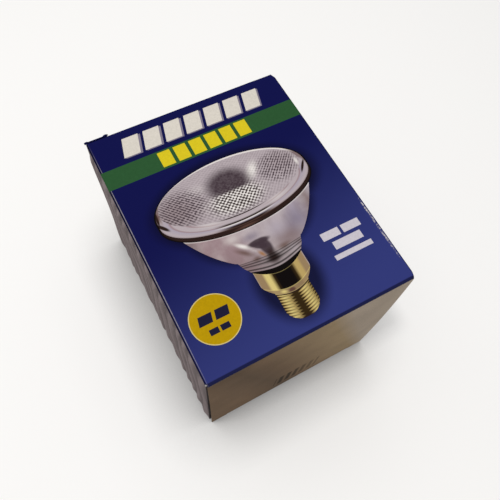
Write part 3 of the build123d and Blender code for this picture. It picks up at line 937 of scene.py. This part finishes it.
class CARTON_OT_marks(bpy.types.Operator):
    """Print rows of plain blocks and bars, and a round seal"""

    bl_idname = "carton.marks"
    bl_label = "Print Marks"

    def execute(self, context):
        look = context.scene.print_look
        self.heading(look)
        self.seal(look)
        self.caption(look)
        return {"FINISHED"}

    def row(self, name, ink, layer, ends, heights, count=1, gap=0.0, slant=0.0):
        """Row of equal blocks, in millimetres, each leaning to the right by the slant over its height."""
        (left, right), (low, high) = ends, heights
        step = (right - left - slant + gap) / count
        for place in range(count):
            start = left + place * step
            end = start + step - gap
            outline = [(start, low), (end, low), (end + slant, high), (start + slant, high)]
            printed(f"{name}_{place + 1}", [(x * MM, y * MM) for x, y in outline], layer, ink)

    def heading(self, look):
        """Leaning blocks over their bevels at the top, and upright blocks on the cross band."""
        shade = offset_ink("block_shade_ink", look.block_shade)
        off_white = offset_ink("off_white_ink", look.off_white)
        yellow = offset_ink("yellow_ink", look.yellow)
        self.row("heading_shade", shade, 1, (-45.2, 46.8), (58.0, 71.0), 7, gap=2.6, slant=3.4)
        self.row("heading_block", off_white, 2, (-46.0, 46.0), (58.7, 71.7), 7, gap=3.1, slant=3.4)
        self.row("band_block", yellow, 2, (-28.5, 28.5), (43.3, 53.7), 6, gap=2.2)

    def seal(self, look):
        """Round seal in a fine ring, with two rows of bars on it."""
        centre, radius = look.disc_place, look.disc_radius
        printed("seal_ring", oval(centre, radius, radius), 1, offset_ink("cream_ink", look.disc_ring))
        inner = radius - look.disc_line
        printed("seal_disc", oval(centre, inner, inner), 2, offset_ink("seal_yellow_ink", look.disc_yellow))
        ink = offset_ink("seal_navy_ink", look.seal_ink)
        x, y = (at / MM for at in centre)
        self.row("seal_bar", ink, 3, (x - 9.0, x + 9.0), (y - 0.9, y + 4.3), 2, gap=1.8, slant=1.2)
        self.row("seal_line", ink, 3, (x - 5.6, x + 5.6), (y - 7.2, y - 4.0), 2, gap=1.2)

    def caption(self, look):
        """Three rows of bars at the lower right."""
        ink = offset_ink("caption_ink", look.caption)
        self.row("caption_bar", ink, 1, (28.5, 52.8), (-38.2, -33.4), 2, gap=1.8)
        self.row("caption_middle", ink, 1, (32.2, 50.0), (-45.2, -40.4))
        self.row("caption_line", ink, 1, (29.0, 52.6), (-50.9, -47.9))


class CARTON_OT_picture(bpy.types.Operator):
    """Print a plain picture of a reflector lamp on the front panel"""

    bl_idname = "carton.picture"
    bl_label = "Lamp Picture"

    def execute(self, context):
        look = context.scene.picture_look
        self.base(look)
        self.bowl(look)
        rim = self.disc(look, look.rim_width, look.seam_place, look.seam_height)
        printed("picture_rim", rim, 4, rim_ink(look))
        bead = self.disc(look, look.rim_width - look.bead_inset, look.bead_place, look.bead_height)
        printed("picture_bead", bead, 5, bead_ink(look))
        x, y = look.rim_place
        lens = oval((x, y + look.lens_rise), look.rim_width - look.lens_inset, look.lens_height)
        printed("picture_lens", lens, 6, lens_ink(look))
        return {"FINISHED"}

    def disc(self, look, width, near_place, near):
        """Outline of a thick disc seen from above: half an oval far, upright sides, and half an oval near."""
        far_centre = (0, look.rim_place[1] - near_place[1])
        outline = arc(far_centre, width, look.rim_height, 0, 180, 48) + arc((0, 0), width, near, 180, 180, 48)
        lean = Matrix.Rotation(look.tilt, 2)
        return [tuple(Vector(near_place) + lean @ Vector(point)) for point in outline]

    def bowl(self, look):
        """Bowl and neck in one: a full curve, a small step, then a taper down to the skirt's round top."""
        side = sweep_curve((40.5, -2.0), (31.5, -19.5), (20.3, -28.0))
        side += [(19.2, -28.5), (17.6, -32.5)]
        side += sweep_curve((14.6, -36.8), (7.3, -42.3), (0.0, -42.3), 10)[:-1]
        printed("picture_bowl", mirrored(side, look.middle), 3, bowl_ink(look))

    def base(self, look):
        """Skirt and screw, from the lowest layer up."""
        screw = [(9.6, -51.0), (9.7, -63.0)]
        screw += sweep_curve((9.6, -64.0), (7.8, -68.6), (2.5, -70.0), 8)
        printed("picture_screw", mirrored(screw, look.middle), 1, screw_ink(look))
        skirt = [(14.7, -35.0), (14.7, -45.0)]
        skirt += sweep_curve((14.6, -45.8), (13.8, -48.4), (10.0, -51.8), 8)
        skirt += sweep_curve((9.8, -53.1), (4.9, -55.6), (0.3, -55.6), 8)
        printed("picture_skirt", mirrored(skirt, look.middle), 2, skirt_ink(look))


class CARTON_OT_lamp(bpy.types.Operator):
    """Finish the lamp inside: pressed glass, silvering, brass, tin and a rolled screw thread"""

    bl_idname = "carton.lamp"
    bl_label = "Lamp"

    def execute(self, context):
        look = context.scene.lamp_look
        # Rolled sheet brass: warm yellow metal, a little clouded by handling.
        brass = clouded(Finish("rolled_brass", look.brass, 0.28, Metallic=1.0), 6.0, 5.0, 0.18, 0.42)
        # Tinned steel and solder: soft white metal with a slightly uneven sheen.
        tin = clouded(Finish("tinned_metal", look.tin, 0.35, Metallic=1.0), 1.4286, 3.0, 0.25, 0.5)
        # Glass bowl with aluminium evaporated on its inside: a bright mirror with a faint cloud in it.
        silver = clouded(Finish("aluminised_glass", look.silver, 0.16, Metallic=1.0), 22.0, 4.0, 0.1, 0.26)
        finishes = {
            "lamp_lens": prismatic_glass(look),
            "lamp_reflector": silver,
            "lamp_capsule": quartz(look),
            "lamp_filament": coiled_tungsten(look),
            "lead_wires": tin,
            "lead_ferrules": tin,
            "screw_base": brass,
            "base_insulator": dark_glass(look),
            "centre_contact": tin,
        }
        for name, finish in finishes.items():
            NODES[name].material_slots[0].material = finish
        self.thread(look, brass)
        return {"FINISHED"}

    def thread(self, look, brass):
        """Rolled helical thread over the plain shell of the frame, which is drawn at the thread's root."""
        inner, outer = (sum(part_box(name), Vector()) / 2 for name in ("lead_ferrules", "centre_contact"))
        axis = (outer - inner).normalized()
        points = [v.co - inner for v in NODES["screw_base"].data.vertices]
        end = max(p.dot(axis) for p in points)
        root = max((p - axis * p.dot(axis)).length for p in points if p.dot(axis) > end - 0.1 * MM)
        side = axis.orthogonal().normalized()
        up = axis.cross(side)
        # The ridge's section: a rounded top over half a pitch to each side, and a foot sunk into the shell.
        ridge = [(share / 8, 0.5 + 0.5 * math.cos(math.pi * share / 4)) for share in range(-4, 5)]
        ridge += [(0.45, -0.2), (-0.45, -0.2)]
        per_turn = 40
        steps = per_turn * (look.turns - 1)
        run_out = per_turn / 2
        loops = []
        for step in range(steps + 1):
            angle = 2 * math.pi * step / per_turn
            out = side * math.cos(angle) + up * math.sin(angle)
            middle = end - look.pitch * (look.turns - 0.5 - step / per_turn)
            # The thread runs out to nothing over half a turn at each end.
            rise = look.thread_depth * min(1.0, step / run_out, (steps - step) / run_out)
            loop = []
            for along, height in ridge:
                reach = root + (rise if height >= 0 else look.thread_depth) * height
                loop.append(inner + axis * (middle + along * look.pitch) + out * reach)
            loops.append(loop)
        new_piece("screw_thread", solid(*loops), brass, "carton")


class CARTON_OT_stage(bpy.types.Operator):
    """Set the pale floor, the soft light and the camera"""

    bl_idname = "carton.stage"
    bl_label = "Stage"

    def execute(self, context):
        look = context.scene.stage_look
        self.floor(look)
        self.light(context, look)
        self.camera(context, look)
        context.scene.view_settings.view_transform = "Standard"
        return {"FINISHED"}

    def floor(self, look):
        """Sheet of matt white paper. What is seen of it is pale; what it throws back on the carton is dimmer."""
        paper = Finish("matt_paper", look.bounce, 0.9, Specular_IOR_Level=0.0)
        # Close to the carton the paper lies in its shade.
        near = paper.add("AmbientOcclusion", None, look.contact).outputs["AO"]
        near = paper.add("MapRange", near, 0.45, 1.0, 0.5)
        shaded = paper.add("SCALE", look.floor[:3], near)
        matt, glow = paper.add("BsdfDiffuse", shaded), paper.add("Emission", look.white, near)
        pale = paper.add("MixShader", look.glow, matt, glow)
        both = paper.add("MixShader", seen_directly(paper), paper.shader, pale)
        paper.tree.links.new(live(both), paper.tree.nodes["Material Output"].inputs["Surface"])
        shape = bmesh.new()
        bmesh.ops.create_grid(shape, x_segments=1, y_segments=1, size=4.0)
        new_piece("floor", shape, paper.material)

    def light(self, context, look):
        """White light from all around, dimmer on the carton than it is seen, and two square lights above."""
        context.scene.world = bpy.data.worlds.new("studio")
        studio = Graph(context.scene.world)
        level = studio.add("MapRange", seen_directly(studio), None, None, look.ambient, 1.0)
        background = studio.tree.nodes["Background"]
        background.inputs["Color"].default_value = look.white
        studio.tree.links.new(live(level), background.inputs["Strength"])
        for name in ("key", "side"):
            light = bpy.data.lights.new(name, "AREA")
            light.energy = getattr(look, f"{name}_power")
            light.size = getattr(look, f"{name}_size")
            self.aimed(context, light, getattr(look, f"{name}_place"), Vector((0, 0, FRONT / 2)))

    def camera(self, context, look):
        """Camera above the carton's lower left corner, rolled a little."""
        camera = bpy.data.cameras.new("camera")
        camera.sensor_width = 36.0
        camera.lens = look.lens
        context.scene.camera = self.aimed(context, camera, look.eye, Vector((*look.aim, FRONT)), look.roll)

    def aimed(self, context, data, place, target, roll=0.0):
        """Light or camera that looks from its place at a target, turned by the roll about its view."""
        piece = bpy.data.objects.new(data.name, data)
        piece.location = place
        piece.rotation_mode = "QUATERNION"
        piece.rotation_quaternion = (target - piece.location).to_track_quat("-Z", "Y") @ Quaternion((0, 0, 1), roll)
        context.scene.collection.objects.link(piece)
        return piece


class CARTON_PT_panel(bpy.types.Panel):
    """Lists the steps that dress the carton"""

    bl_idname = "CARTON_PT_panel"
    bl_label = "Lamp Carton"
    bl_space_type = "VIEW_3D"
    bl_region_type = "UI"
    bl_category = "Lamp Carton"

    def draw(self, context):
        for operator in OPERATORS:
            self.layout.operator(operator.bl_idname)


LOOKS = {
    "board_look": BoardLook,
    "print_look": PrintLook,
    "picture_look": PictureLook,
    "lamp_look": LampLook,
    "stage_look": StageLook,
}
OPERATORS = (
    CARTON_OT_board,
    CARTON_OT_fields,
    CARTON_OT_marks,
    CARTON_OT_picture,
    CARTON_OT_lamp,
    CARTON_OT_stage,
)


def register():
    for group in (*LOOKS.values(), *OPERATORS, CARTON_PT_panel):
        bpy.utils.register_class(group)
    for name, group in LOOKS.items():
        setattr(bpy.types.Scene, name, PointerProperty(type=group))


def unregister():
    for name in LOOKS:
        delattr(bpy.types.Scene, name)
    for group in (CARTON_PT_panel, *reversed(OPERATORS), *reversed(LOOKS.values())):
        bpy.utils.unregister_class(group)


def main():
    register()
    bpy.ops.carton.board()
    bpy.ops.carton.fields()
    bpy.ops.carton.marks()
    bpy.ops.carton.picture()
    bpy.ops.carton.lamp()
    bpy.ops.carton.stage()


if __name__ == "__main__":
    main()
